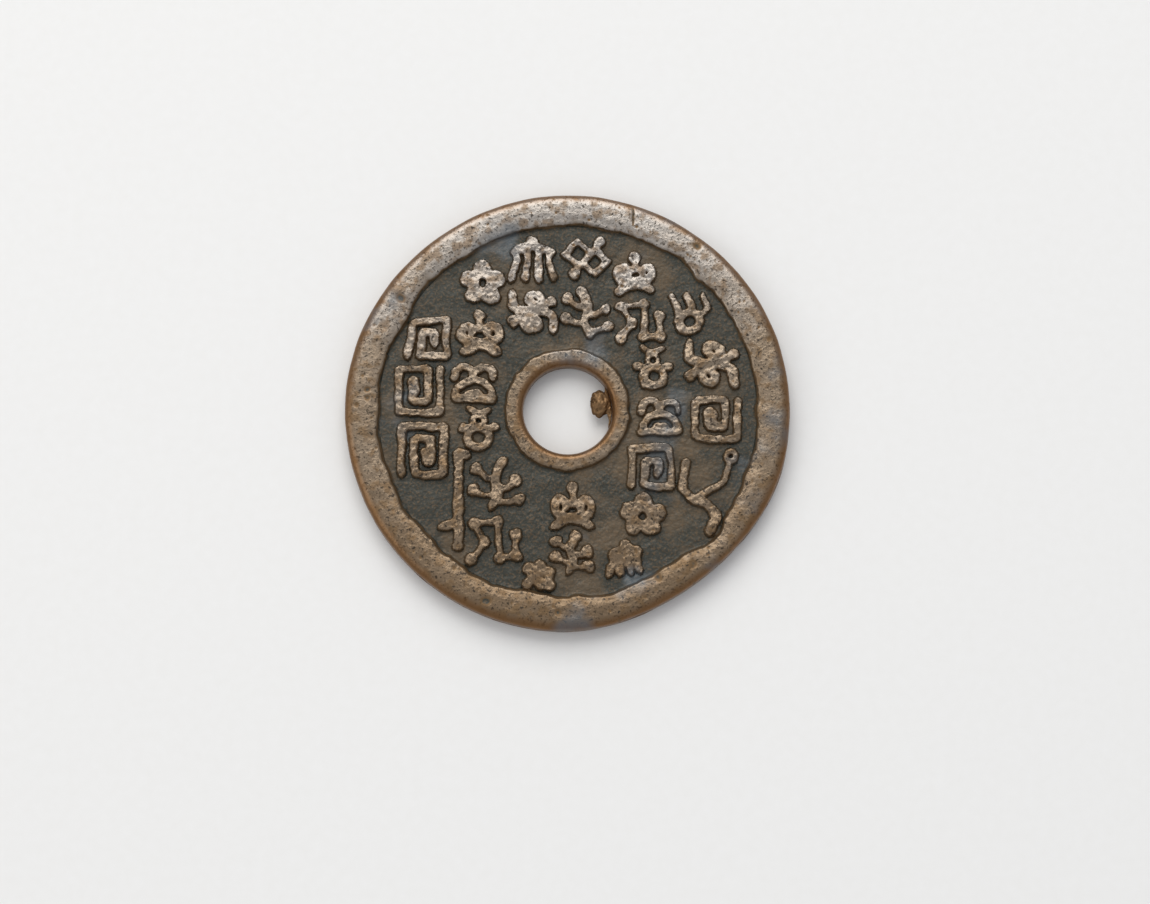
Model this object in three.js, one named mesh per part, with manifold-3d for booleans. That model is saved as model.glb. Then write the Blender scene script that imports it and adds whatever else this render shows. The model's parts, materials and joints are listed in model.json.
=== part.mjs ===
// A round-holed bronze amulet coin, cast in one pour in a two-part sand mould.
// The named pieces are the features of that casting: rim, field and collar above and below
// the mould's parting plane, the flash left in the hole, and each figure of the relief.
// Millimetres. The coin lies on its reverse rim at z = 0, and the obverse looks up along +Z.

import * as THREE from 'three';
import * as BufferGeometryUtils from 'three/addons/utils/BufferGeometryUtils.js';
import Module from 'manifold-3d';

const wasm = await Module();
wasm.setup();

// Driving dimensions of the casting
const COIN_DIAMETER = 45;
const COIN_THICKNESS = 2.6;
const RIM_WIDTH = 3.35;
const SHOULDER_WIDTH = 0.9;
const SHOULDER_DROP = 0.7;
const RIM_EDGE_EASE = 0.2;
const FIELD_RECESS = 0.65;
const COLLAR_DIAMETER = 12.6;
const COLLAR_SET_DOWN = 0.1;
const COLLAR_EASE = 0.25;
const HOLE_DIAMETER = 9.05;
const HOLE_CHAMFER_WIDTH = 0.62;
const HOLE_CHAMFER_DEPTH = 0.75;

// Driving dimensions of the relief
const RELIEF_HEIGHT = 0.55;
const RELIEF_CLEARANCE = 0.3;
const STROKE_WIDTH = 0.85;
const FINE_STROKE_WIDTH = 0.72;
const FINE_GAP = 0.5;
const THIN_STROKE_WIDTH = 0.55;
const BEAD_RADIUS = 0.6;

// Driving dimensions of the reverse's eight trigrams
const TRIGRAM_BAR_LENGTH = 5.2;
const TRIGRAM_BAR_WIDTH = 0.95;
const TRIGRAM_BAR_PITCH = 1.6;
const TRIGRAM_BREAK = 1.0;
const TRIGRAM_PAD_THICKNESS = 0.12;
const TRIGRAM_PAD_MARGIN = 0.25;

// Driving dimensions of the flash in the hole
const FLASH_THICKNESS = 0.4;
const FLASH_REACH = 0.55;
const FLASH_START_STEP = -5;
const FLASH_END_STEP = 7;
const LUMP_LENGTH = 3.0;
const LUMP_WIDTH = 2.1;
const LUMP_THICKNESS = 1.1;

// How finely round things are cut
const RING_STEPS = 72;
const CAP_STEPS = 2;
const ROUND_SIDES = 8;
const SCROLL_STEP = Math.PI / 3.5;
const SCROLL_CLOSING = 0.75;
const SLIVER_WIDTH = 0.04;

// The relief's centre lines were drawn between these two radii, and are fitted to the real field
const DRAWN_INNER_RADIUS = 7.0;
const DRAWN_OUTER_RADIUS = 18.4;

// Where hand filing and a poor pour left the outline off a true circle:
// the direction in degrees, the half width in degrees, and the change of radius
const OUTER_FAULTS = [
  { angle: 306, halfWidth: 42, change: -0.7 },
  { angle: 170, halfWidth: 34, change: 0.12 },
  { angle: 125, halfWidth: 30, change: -0.1 },
  { angle: 25, halfWidth: 40, change: 0.1 },
];
const INNER_FAULTS = [
  { angle: 300, halfWidth: 16, change: -0.5 },
  { angle: 319, halfWidth: 7, change: 0.65 },
  { angle: 151, halfWidth: 9, change: -0.35 },
  { angle: 55, halfWidth: 9, change: 0.22 },
  { angle: 262, halfWidth: 22, change: -0.2 },
];

const rimOuterRadius = COIN_DIAMETER / 2;
const rimInnerRadius = rimOuterRadius - RIM_WIDTH;
const collarRadius = COLLAR_DIAMETER / 2;
const holeRadius = HOLE_DIAMETER / 2;
const partingHeight = COIN_THICKNESS / 2;
const fieldHalf = partingHeight - FIELD_RECESS;
const collarHalf = partingHeight - COLLAR_SET_DOWN;
const obverseGround = partingHeight + fieldHalf;
const reverseGround = partingHeight - fieldHalf;

const bronzeLooks = {
  rim: { color: 0x9c8465, roughness: 0.42, metalness: 0.9 },
  collar: { color: 0x94795a, roughness: 0.45, metalness: 0.9 },
  field: { color: 0x403d33, roughness: 0.7, metalness: 0.7 },
  relief: { color: 0x8f7b62, roughness: 0.48, metalness: 0.9 },
  flash: { color: 0xa06a34, roughness: 0.5, metalness: 0.9 },
};

const coin = new THREE.Group();

function addPiece(name, geometry, look) {
  const mesh = new THREE.Mesh(geometry, new THREE.MeshStandardMaterial(look));
  mesh.name = name;
  coin.add(mesh);
}

// Joining solids

function asSolid(geometry) {
  const bare = geometry.index ? geometry.toNonIndexed() : geometry.clone();
  bare.deleteAttribute('normal');
  bare.deleteAttribute('uv');
  const merged = BufferGeometryUtils.mergeVertices(bare);
  return new wasm.Manifold(new wasm.Mesh({
    numProp: 3,
    vertProperties: new Float32Array(merged.attributes.position.array),
    triVerts: new Uint32Array(merged.index.array),
  }));
}

function asGeometry(solid) {
  const mesh = solid.getMesh();
  const geometry = new THREE.BufferGeometry();
  geometry.setAttribute('position', new THREE.BufferAttribute(mesh.vertProperties, 3));
  geometry.setIndex(new THREE.BufferAttribute(mesh.triVerts, 1));
  geometry.computeVertexNormals();
  return geometry;
}

function joined(geometries) {
  const solids = geometries.map(asSolid);
  const whole = solids.reduce((sum, next) => sum.add(next));
  return asGeometry(whole.simplify(SLIVER_WIDTH));
}

// The coin's outline

function faultAt(angle, faults) {
  const degrees = THREE.MathUtils.radToDeg(angle);
  let change = 0;
  for (const fault of faults) {
    const away = THREE.MathUtils.euclideanModulo(degrees - fault.angle + 180, 360) - 180;
    if (Math.abs(away) < fault.halfWidth) {
      change += fault.change * (1 + Math.cos(Math.PI * away / fault.halfWidth)) / 2;
    }
  }
  return change;
}

function rimOuterAt(angle) {
  return rimOuterRadius + faultAt(angle, OUTER_FAULTS);
}

function rimInnerAt(angle) {
  return rimInnerRadius + faultAt(angle, INNER_FAULTS);
}

// A ring turned from its section, then eased so that its nominal radii follow the outline

function turnedRing(section, followOutline) {
  const closed = [...section, section[0]];
  const points = closed.map(([radius, height]) => new THREE.Vector2(radius, height));
  const geometry = new THREE.LatheGeometry(points, RING_STEPS);
  geometry.rotateX(Math.PI / 2);
  const place = geometry.attributes.position;
  for (let i = 0; i < place.count; i += 1) {
    const angle = Math.atan2(place.getY(i), place.getX(i));
    const radius = followOutline(Math.hypot(place.getX(i), place.getY(i)), angle);
    place.setXY(i, radius * Math.cos(angle), radius * Math.sin(angle));
  }
  return geometry;
}

function followRim(radius, angle) {
  const share = (radius - rimInnerRadius) / RIM_WIDTH;
  return THREE.MathUtils.lerp(rimInnerAt(angle), rimOuterAt(angle), share);
}

function followField(radius, angle) {
  const share = (radius - collarRadius) / (rimInnerRadius - collarRadius);
  return THREE.MathUtils.lerp(collarRadius, rimInnerAt(angle), share);
}

function stayRound(radius) {
  return radius;
}

// One half of the coin, above (side = 1) or below (side = -1) the parting plane.
// A section is listed for the upper half, and is turned over for the lower one.

function halfSection(points, side) {
  const placed = points.map(([radius, rise]) => [radius, partingHeight + side * rise]);
  return side > 0 ? placed : placed.reverse();
}

const rimSection = [
  [rimInnerRadius, 0],
  [rimOuterRadius, 0],
  [rimOuterRadius, partingHeight - SHOULDER_DROP],
  [rimOuterRadius - SHOULDER_WIDTH * 0.12, partingHeight - SHOULDER_DROP * 0.5],
  [rimOuterRadius - SHOULDER_WIDTH * 0.42, partingHeight - SHOULDER_DROP * 0.17],
  [rimOuterRadius - SHOULDER_WIDTH, partingHeight],
  [rimInnerRadius + RIM_EDGE_EASE * 2, partingHeight],
  [rimInnerRadius, partingHeight - RIM_EDGE_EASE],
];

const collarSection = [
  [holeRadius, 0],
  [collarRadius, 0],
  [collarRadius, collarHalf - COLLAR_EASE],
  [collarRadius - COLLAR_EASE, collarHalf],
  [holeRadius + HOLE_CHAMFER_WIDTH, collarHalf],
  [holeRadius, collarHalf - HOLE_CHAMFER_DEPTH],
];

const fieldSection = [
  [collarRadius, 0],
  [rimInnerRadius, 0],
  [rimInnerRadius, fieldHalf],
  [collarRadius, fieldHalf],
];

for (const [face, side] of [['obverse', 1], ['reverse', -1]]) {
  const rim = turnedRing(halfSection(rimSection, side), followRim);
  const collar = turnedRing(halfSection(collarSection, side), stayRound);
  const field = turnedRing(halfSection(fieldSection, side), followField);
  addPiece(`${face}_rim`, rim, bronzeLooks.rim);
  addPiece(`${face}_collar`, collar, bronzeLooks.collar);
  addPiece(`${face}_field`, field, bronzeLooks.field);
}

// The flash in the hole: a thin web at the parting plane with a lump of metal on it

function castingFlash() {
  const web = new THREE.Shape();
  const stepAngle = 2 * Math.PI / RING_STEPS;
  const span = FLASH_END_STEP - FLASH_START_STEP;
  for (let step = FLASH_START_STEP; step <= FLASH_END_STEP; step += 1) {
    const angle = step * stepAngle;
    const place = [holeRadius * Math.cos(angle), holeRadius * Math.sin(angle)];
    if (step === FLASH_START_STEP) {
      web.moveTo(...place);
    } else {
      web.lineTo(...place);
    }
  }
  for (let step = FLASH_END_STEP - 1; step > FLASH_START_STEP; step -= 1) {
    const angle = step * stepAngle;
    const swell = Math.sin(Math.PI * (step - FLASH_START_STEP) / span);
    const radius = holeRadius - FLASH_REACH * swell;
    web.lineTo(radius * Math.cos(angle), radius * Math.sin(angle));
  }
  const sheet = new THREE.ExtrudeGeometry(web, { depth: FLASH_THICKNESS, bevelEnabled: false });
  sheet.translate(0, 0, partingHeight - FLASH_THICKNESS / 2);
  const lump = new THREE.SphereGeometry(0.5, ROUND_SIDES, ROUND_SIDES / 2);
  lump.scale(LUMP_WIDTH, LUMP_LENGTH, LUMP_THICKNESS);
  const lumpCentre = holeRadius - FLASH_REACH / 2 - LUMP_WIDTH / 2;
  lump.translate(lumpCentre, LUMP_LENGTH / 4, partingHeight);
  return joined([sheet, lump]);
}

addPiece('casting_flash', castingFlash(), bronzeLooks.flash);

// Marks of the relief. A mark's points are first drawn, then fitted onto the field.

function onField([x, y]) {
  const angle = Math.atan2(y, x);
  const drawn = THREE.MathUtils.clamp(Math.hypot(x, y), DRAWN_INNER_RADIUS, DRAWN_OUTER_RADIUS);
  const share = (drawn - DRAWN_INNER_RADIUS) / (DRAWN_OUTER_RADIUS - DRAWN_INNER_RADIUS);
  const margin = RELIEF_CLEARANCE + STROKE_WIDTH / 2;
  const innermost = collarRadius + margin;
  const outermost = rimInnerAt(angle) - margin;
  const radius = THREE.MathUtils.lerp(innermost, outermost, share);
  return new THREE.Vector2(radius * Math.cos(angle), radius * Math.sin(angle));
}

// The outline of one straight run of a stroke, with round ends

function runShape(start, end, width) {
  const along = end.clone().sub(start).normalize();
  const across = new THREE.Vector2(-along.y, along.x).multiplyScalar(width / 2);
  const outline = [];
  for (const [centre, first] of [[start, 0], [end, -Math.PI]]) {
    for (let i = 0; i <= CAP_STEPS; i += 1) {
      const spoke = across.clone().rotateAround(new THREE.Vector2(), first + Math.PI * i / CAP_STEPS);
      outline.push(centre.clone().add(spoke));
    }
  }
  return new THREE.Shape(outline);
}

function polygonShape(centre, radius, sides) {
  const points = [];
  for (let i = 0; i < sides; i += 1) {
    const angle = 2 * Math.PI * i / sides;
    const spoke = new THREE.Vector2(Math.cos(angle), Math.sin(angle));
    points.push(centre.clone().addScaledVector(spoke, radius));
  }
  return new THREE.Shape(points);
}

function loopShape(centre, radius, sides, width) {
  const shape = polygonShape(centre, radius + width / 2, sides);
  shape.holes.push(polygonShape(centre, radius - width / 2, sides));
  return shape;
}

// Kinds of mark: each has its points or centre in the figure's own millimetres

function stroke(points, width = STROKE_WIDTH) {
  return { points, width };
}

function bead(x, y, radius = BEAD_RADIUS) {
  return { bead: [x, y], radius, sides: ROUND_SIDES };
}

function loop(x, y, radius, sides = ROUND_SIDES, width = STROKE_WIDTH) {
  return { loop: [x, y], radius, sides, width };
}

function markShapes(mark, place) {
  if (mark.bead) {
    return [polygonShape(place(mark.bead), mark.radius, mark.sides)];
  }
  if (mark.loop) {
    return [loopShape(place(mark.loop), mark.radius, mark.sides, mark.width)];
  }
  const line = mark.points.map(place);
  return line.slice(1).map((end, i) => runShape(line[i], end, mark.width));
}

function raised(shape, bottom, height) {
  const geometry = new THREE.ExtrudeGeometry(shape, { depth: height, bevelEnabled: false });
  geometry.translate(0, 0, bottom);
  return geometry;
}

// Figures of the relief. Each gives a list of marks, all touching one another.

const finePitch = FINE_STROKE_WIDTH + FINE_GAP;

function squareSpiral(width, height) {
  let left = -width / 2;
  let right = width / 2;
  let bottom = -height / 2;
  let top = height / 2;
  const points = [[left, bottom]];
  while (right - left > finePitch * 0.8 && top - bottom > finePitch * 0.8) {
    points.push([left, top], [right, top], [right, bottom], [left + finePitch, bottom]);
    left += finePitch;
    right -= finePitch;
    top -= finePitch;
    bottom += finePitch;
  }
  points.push([left, Math.max(bottom, top - FINE_GAP)]);
  return [stroke(points, FINE_STROKE_WIDTH)];
}

function turnedOver(marks) {
  return marks.map((mark) => ({ ...mark, points: mark.points.map(([x, y]) => [-x, -y]) }));
}

function scrollLine(x, y, radius, turns, start, hand) {
  const points = [];
  const sweep = 2 * Math.PI * turns;
  for (let turned = 0; turned <= sweep + 0.01; turned += SCROLL_STEP) {
    const reach = radius * (1 - SCROLL_CLOSING * turned / sweep);
    const angle = start + hand * turned;
    points.push([x + reach * Math.cos(angle), y + reach * Math.sin(angle)]);
  }
  return points;
}

function cloud(size) {
  const curl = size * 0.5;
  const right = scrollLine(curl, 0, curl, 0.95, -Math.PI / 2, 1);
  const left = right.map(([x, y]) => [-x, y]);
  return [
    stroke([...left.reverse(), ...right]),
    stroke([[0, 0.1], [0, size * 0.8]], THIN_STROKE_WIDTH),
    bead(0, size * 0.85),
    stroke([[-curl * 1.7, -size * 0.95], [-curl * 0.4, -curl * 1.3], [curl * 0.4, -curl * 1.3]]),
    stroke([[curl * 0.4, -curl * 1.3], [curl * 1.7, -size * 0.95]]),
    stroke([[0, -curl * 1.3], [0, -curl]]),
  ];
}

function doubleScroll(size) {
  const radius = size * 0.55;
  const upper = scrollLine(0, radius, radius, 1.0, -Math.PI / 2, 1);
  const lower = upper.map(([x, y]) => [-x, -y]);
  return [
    stroke([...lower.reverse(), ...upper]),
    stroke([[-size, size * 0.95], [-size * 0.95, size * 0.2], [-size * 0.4, 0], [0, 0]]),
    stroke([[size, -size * 0.95], [size * 0.95, -size * 0.2], [size * 0.4, 0], [0, 0]]),
    bead(-size * 0.95, -size * 0.5),
    bead(size * 0.95, size * 0.5),
    stroke([[-size * 0.95, -size * 0.5], [-size * 0.4, 0]], THIN_STROKE_WIDTH),
    stroke([[size * 0.95, size * 0.5], [size * 0.4, 0]], THIN_STROKE_WIDTH),
  ];
}

function starChain(size) {
  const stars = [[-1, -0.8], [-0.4, 0], [-0.95, 0.85], [0.2, 0.9], [0.25, -0.75], [1, -0.7], [1, 0.35]];
  const places = stars.map(([x, y]) => [x * size, y * size]);
  return [
    stroke(places, THIN_STROKE_WIDTH),
    ...places.map(([x, y]) => bead(x, y)),
  ];
}

function blossom(size) {
  const petal = size * 0.4;
  const marks = [loop(0, 0, size * 0.36)];
  for (let i = 0; i < 5; i += 1) {
    const angle = Math.PI / 2 + 2 * Math.PI * i / 5;
    const reach = size - petal;
    marks.push(bead(reach * Math.cos(angle), reach * Math.sin(angle), petal));
  }
  return marks;
}

function sprig(size, lean) {
  const stem = [[-lean, -size], [lean * 0.4, -size * 0.4], [-lean * 0.3, size * 0.25], [lean, size]];
  const marks = [stroke(stem), bead(lean, size)];
  const shoots = [[0.95, -0.6, -0.75], [0.85, 0.2, -0.1], [-0.95, -0.2, -0.45], [-0.85, 0.7, 0.3]];
  for (const [x, y, root] of shoots) {
    marks.push(stroke([[0, root * size], [x * size * 0.5, root * size], [x * size, y * size]], THIN_STROKE_WIDTH));
    marks.push(bead(x * size, y * size));
  }
  return marks;
}

function arcLine(x, y, radius, start, end, steps) {
  const points = [];
  for (let i = 0; i <= steps; i += 1) {
    const angle = start + (end - start) * i / steps;
    points.push([x + radius * Math.cos(angle), y + radius * Math.sin(angle)]);
  }
  return points;
}

function waveCrests(size) {
  const low = -size * 0.9;
  return [
    stroke(arcLine(0, low, size, 0, Math.PI, 6), FINE_STROKE_WIDTH),
    stroke(arcLine(0, low, size * 0.4, 0, Math.PI, 4), FINE_STROKE_WIDTH),
    stroke([[-size, low], [size, low]], FINE_STROKE_WIDTH),
    stroke(arcLine(-size * 0.5, size * 0.3, size * 0.5, Math.PI * 1.1, 0, 4), FINE_STROKE_WIDTH),
    stroke(arcLine(size * 0.5, size * 0.3, size * 0.5, Math.PI, -0.1 * Math.PI, 4), FINE_STROKE_WIDTH),
    stroke([[0, size * 0.3], [0, size * 0.05]], FINE_STROKE_WIDTH),
  ];
}

function gourd(size) {
  return [
    loop(0, -size * 0.42, size * 0.5),
    loop(0, size * 0.42, size * 0.3, ROUND_SIDES, THIN_STROKE_WIDTH),
    stroke([[-size * 0.5, size], [0, size * 0.78], [size * 0.5, size]], THIN_STROKE_WIDTH),
    bead(-size * 0.75, size * 0.1, BEAD_RADIUS * 0.8),
    bead(size * 0.75, size * 0.1, BEAD_RADIUS * 0.8),
    stroke([[-size * 0.75, size * 0.1], [0, 0], [size * 0.75, size * 0.1]], THIN_STROKE_WIDTH),
  ];
}

function lozenges(size) {
  const radius = size * 0.62;
  const offset = size - radius;
  return [
    loop(-offset, offset * 0.5, radius, 4),
    loop(offset, -offset * 0.5, radius, 4),
    bead(offset * 1.6, size * 0.75),
    stroke([[offset * 1.6, size * 0.75], [offset, radius - offset]], THIN_STROKE_WIDTH),
    bead(-offset * 1.6, -size * 0.75),
    stroke([[-offset * 1.6, -size * 0.75], [-offset, offset - radius]], THIN_STROKE_WIDTH),
  ];
}

function tassel(size) {
  const marks = [stroke([[-size, size * 0.45], [0, size * 0.75], [size, size * 0.45]]), bead(0, size)];
  for (const side of [-0.95, -0.32, 0.32, 0.95]) {
    const x = side * size;
    const top = size * (0.75 - 0.3 * Math.abs(side));
    const spread = x * 0.15;
    marks.push(stroke([[x, top], [x - spread, 0], [x + spread, -size]], FINE_STROKE_WIDTH));
  }
  return marks;
}

function flamingPearl(size) {
  const low = -size * 0.4;
  const marks = [loop(0, low, size * 0.55)];
  for (const side of [-1, 0, 1]) {
    const root = [side * size * 0.5, low + size * (0.55 - 0.3 * Math.abs(side))];
    const bend = [side * size * 0.75 + size * 0.15, size * 0.35];
    const tip = [side * size * 0.8 - size * 0.15, size];
    marks.push(stroke([root, bend, tip], THIN_STROKE_WIDTH));
  }
  return marks;
}

function beadedTail() {
  return [
    stroke([[-3, 3.4], [-3.5, 0.6], [-2.5, -0.6], [-1, -1], [0, -2.2], [-0.6, -4]]),
    stroke([[-2.5, -0.6], [0.6, 1.2], [1.3, 3]], THIN_STROKE_WIDTH),
    loop(1.5, 3.8, BEAD_RADIUS, ROUND_SIDES, THIN_STROKE_WIDTH),
  ];
}

function staff() {
  return [
    stroke([[0.9, 4.2], [0, 4.6], [0, -5]]),
    stroke([[-0.3, -2.6], [-1.6, -3.1]]),
    bead(0, -5),
  ];
}

// Where each figure stands on the drawn field

const obverseRelief = [
  { name: 'left_fret_upper', x: -14.3, y: 7.5, marks: squareSpiral(3.9, 3.9) },
  { name: 'left_fret_middle', x: -15, y: 2, marks: turnedOver(squareSpiral(4.2, 4.6)) },
  { name: 'left_fret_lower', x: -14.6, y: -4.2, marks: squareSpiral(4.2, 5) },
  { name: 'left_staff', x: -11, y: -8.9, marks: staff() },
  { name: 'left_blossom', x: -8.7, y: 13.1, marks: blossom(2.4) },
  { name: 'left_cloud', x: -8.9, y: 8, marks: cloud(2.2) },
  { name: 'left_waves', x: -9.5, y: 2.9, marks: waveCrests(2) },
  { name: 'left_gourd', x: -9, y: -2, marks: gourd(2.1) },
  { name: 'left_sprig', x: -7.2, y: -7.7, marks: sprig(2.4, 0.5) },
  { name: 'left_star_chain', x: -7.4, y: -13.5, marks: starChain(2.2) },
  { name: 'upper_left_tassel', x: -3.6, y: 15.5, marks: tassel(2) },
  { name: 'upper_left_scroll', x: -3.6, y: 10.2, marks: doubleScroll(2.1) },
  { name: 'upper_right_lozenges', x: 1.9, y: 15.8, marks: lozenges(2.2) },
  { name: 'upper_right_sprig', x: 1.9, y: 10, marks: sprig(2.3, -0.5) },
  { name: 'right_cloud', x: 6.8, y: 14.2, marks: cloud(2) },
  { name: 'right_star_chain', x: 7.3, y: 9, marks: starChain(2) },
  { name: 'right_gourd', x: 8.6, y: 4.3, marks: gourd(2.1) },
  { name: 'right_waves', x: 9.3, y: -0.6, marks: waveCrests(1.9) },
  { name: 'right_fret', x: 8.4, y: -5.9, marks: squareSpiral(3.9, 3.9) },
  { name: 'right_blossom', x: 7.7, y: -11, marks: blossom(2.4) },
  { name: 'right_tassel', x: 5.8, y: -15.4, marks: tassel(1.5) },
  { name: 'right_pearl', x: 12.4, y: 9.9, marks: flamingPearl(2) },
  { name: 'right_panel_scroll', x: 14.6, y: 4.7, marks: doubleScroll(2.3) },
  { name: 'right_panel_fret', x: 15, y: -1, marks: turnedOver(squareSpiral(4.2, 4)) },
  { name: 'right_beaded_tail', x: 15, y: -8.6, marks: beadedTail() },
  { name: 'lower_cloud', x: 0.5, y: -9.8, marks: cloud(2.2) },
  { name: 'lower_sprig', x: 0.4, y: -14.8, marks: sprig(1.8, 0.4) },
  { name: 'lower_beads', x: -3, y: -17.2, marks: starChain(1.1) },
];

for (const figure of obverseRelief) {
  const place = ([x, y]) => onField([figure.x + x, figure.y + y]);
  const shapes = figure.marks.flatMap((mark) => markShapes(mark, place));
  const solids = shapes.map((shape) => raised(shape, obverseGround, RELIEF_HEIGHT));
  addPiece(figure.name, joined(solids), bronzeLooks.relief);
}

// The reverse's ring of eight trigrams: three bars each, whole (1) or broken (0), listed from
// the hole outwards, on a low pad. Seen from behind they run clockwise from the top.

const trigrams = [
  { name: 'trigram_fire', bars: [1, 0, 1] },
  { name: 'trigram_earth', bars: [0, 0, 0] },
  { name: 'trigram_lake', bars: [1, 1, 0] },
  { name: 'trigram_heaven', bars: [1, 1, 1] },
  { name: 'trigram_water', bars: [0, 1, 0] },
  { name: 'trigram_mountain', bars: [0, 0, 1] },
  { name: 'trigram_thunder', bars: [1, 0, 0] },
  { name: 'trigram_wind', bars: [0, 1, 1] },
];
const trigramRadius = (collarRadius + rimInnerRadius) / 2;

function trigramBox(angle, along, outward, length, width) {
  const out = new THREE.Vector2(Math.cos(angle), Math.sin(angle));
  const side = new THREE.Vector2(-out.y, out.x);
  const centre = out.clone().multiplyScalar(trigramRadius + outward).addScaledVector(side, along);
  const corners = [[-1, -1], [1, -1], [1, 1], [-1, 1]].map(([s, o]) => (
    centre.clone().addScaledVector(side, s * length / 2).addScaledVector(out, o * width / 2)
  ));
  return new THREE.Shape(corners);
}

trigrams.forEach(({ name, bars }, index) => {
  const angle = Math.PI / 2 + 2 * Math.PI * index / trigrams.length;
  const padLength = TRIGRAM_BAR_LENGTH + 2 * TRIGRAM_PAD_MARGIN;
  const padWidth = 2 * TRIGRAM_BAR_PITCH + TRIGRAM_BAR_WIDTH + 2 * TRIGRAM_PAD_MARGIN;
  const pad = trigramBox(angle, 0, 0, padLength, padWidth);
  const solids = [raised(pad, reverseGround - TRIGRAM_PAD_THICKNESS, TRIGRAM_PAD_THICKNESS)];
  bars.forEach((whole, row) => {
    const outward = (row - 1) * TRIGRAM_BAR_PITCH;
    const length = whole ? TRIGRAM_BAR_LENGTH : (TRIGRAM_BAR_LENGTH - TRIGRAM_BREAK) / 2;
    const places = whole ? [0] : [-1, 1].map((s) => s * (length + TRIGRAM_BREAK) / 2);
    for (const along of places) {
      const bar = trigramBox(angle, along, outward, length, TRIGRAM_BAR_WIDTH);
      solids.push(raised(bar, reverseGround - RELIEF_HEIGHT, RELIEF_HEIGHT));
    }
  });
  addPiece(name, joined(solids), bronzeLooks.relief);
});

export default coin;
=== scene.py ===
# %% [markdown]
# A cast bronze amulet coin, seen from almost straight above on pale paper.
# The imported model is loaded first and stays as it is: every measure below is read from it, so the
# dressed pieces lie exactly where the solids do. Lengths in the modelling cells are millimetres,
# because a coin is drawn in millimetres, and each finished mesh is scaled to metres at the end.

# %% Load the frame and measure it
import json
import math
import random
from types import SimpleNamespace

import bmesh
import bpy
import numpy as np
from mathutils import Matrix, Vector, noise
from mathutils.bvhtree import BVHTree

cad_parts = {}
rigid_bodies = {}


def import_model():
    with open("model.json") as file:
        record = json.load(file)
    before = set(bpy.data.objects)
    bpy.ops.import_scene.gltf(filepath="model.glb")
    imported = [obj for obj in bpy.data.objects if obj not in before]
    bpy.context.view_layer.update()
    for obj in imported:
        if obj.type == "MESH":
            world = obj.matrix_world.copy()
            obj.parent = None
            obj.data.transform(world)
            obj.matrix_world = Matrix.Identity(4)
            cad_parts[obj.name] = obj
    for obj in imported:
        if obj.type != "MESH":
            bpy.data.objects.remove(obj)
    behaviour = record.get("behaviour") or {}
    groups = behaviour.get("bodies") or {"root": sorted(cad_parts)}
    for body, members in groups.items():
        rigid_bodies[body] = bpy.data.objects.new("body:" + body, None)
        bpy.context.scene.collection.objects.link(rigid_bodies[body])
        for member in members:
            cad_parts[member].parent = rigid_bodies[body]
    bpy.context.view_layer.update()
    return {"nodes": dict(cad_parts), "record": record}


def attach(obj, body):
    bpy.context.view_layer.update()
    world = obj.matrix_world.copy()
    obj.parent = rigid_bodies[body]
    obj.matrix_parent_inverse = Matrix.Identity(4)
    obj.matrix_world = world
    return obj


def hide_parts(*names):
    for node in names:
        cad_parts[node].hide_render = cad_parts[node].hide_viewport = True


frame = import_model()
MM = 0.001


def points_mm(node):
    """The corners of a solid, in millimetres."""
    return np.array([v.co for v in frame["nodes"][node].data.vertices]) / MM


def radii_mm(node):
    """The least and the greatest distance of a solid's corners from the coin's axis."""
    reach = np.hypot(*points_mm(node)[:, :2].T)
    return reach.min(), reach.max()


hole_radius, collar_radius = radii_mm("obverse_collar")
coin_thickness = points_mm("obverse_rim")[:, 2].max()
mid_height = coin_thickness / 2
collar_rise = points_mm("obverse_collar")[:, 2].max() - mid_height
ground_rise = points_mm("obverse_field")[:, 2].max() - mid_height
relief_rise = points_mm("left_blossom")[:, 2].max() - mid_height - ground_rise
print("hole", round(hole_radius, 2), "collar", round(collar_radius, 2))
print("thickness", round(coin_thickness, 2), "relief", round(relief_rise, 2))

# %% [markdown]
# The camera comes first, so that each piece is judged in the right view. The photograph looks down
# from about 80 degrees with a fairly long lens, and the coin lies left of and above its middle.
# Its centre and its width in the photograph give where the camera aims and how far away it stands.

# %% Camera
PHOTO_WIDTH = 1150
PHOTO_HEIGHT = 904
COIN_CENTRE_PIXEL = (567.7, 408.8)
PIXELS_PER_MM = 9.91
CAMERA_ELEVATION = math.radians(80)
CAMERA_LENS = 85
SENSOR_WIDTH = 36
CAMERA_NEAR = 0.01

frame_width = PHOTO_WIDTH / PIXELS_PER_MM
camera_distance = frame_width * CAMERA_LENS / SENSOR_WIDTH
aim_x = (PHOTO_WIDTH / 2 - COIN_CENTRE_PIXEL[0]) / PIXELS_PER_MM
aim_y = (COIN_CENTRE_PIXEL[1] - PHOTO_HEIGHT / 2) / PIXELS_PER_MM / math.sin(CAMERA_ELEVATION)
aim = Vector((aim_x, aim_y, coin_thickness)) * MM
back = Vector((0, -math.cos(CAMERA_ELEVATION), math.sin(CAMERA_ELEVATION)))

camera_data = bpy.data.cameras.new("camera")
camera_data.lens = CAMERA_LENS
camera_data.sensor_width = SENSOR_WIDTH
camera_data.clip_start = CAMERA_NEAR
camera = bpy.data.objects.new("camera", camera_data)
camera.location = aim + back * camera_distance * MM
camera.rotation_euler = back.to_track_quat("Z", "Y").to_euler()
bpy.context.scene.collection.objects.link(camera)
bpy.context.scene.camera = camera
bpy.context.scene.view_settings.view_transform = "Standard"
print("camera distance in mm", round(camera_distance, 1))

# %% [markdown]
# The floor is the sheet of paper that the coin lies on: one wide plane with a faint grain. It lies
# a hair below the coin, so that the rough rim of the reverse never pokes through it. Paper is dull
# and pale, so its grain is only a slow change between two near whites, with no bump.

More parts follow.
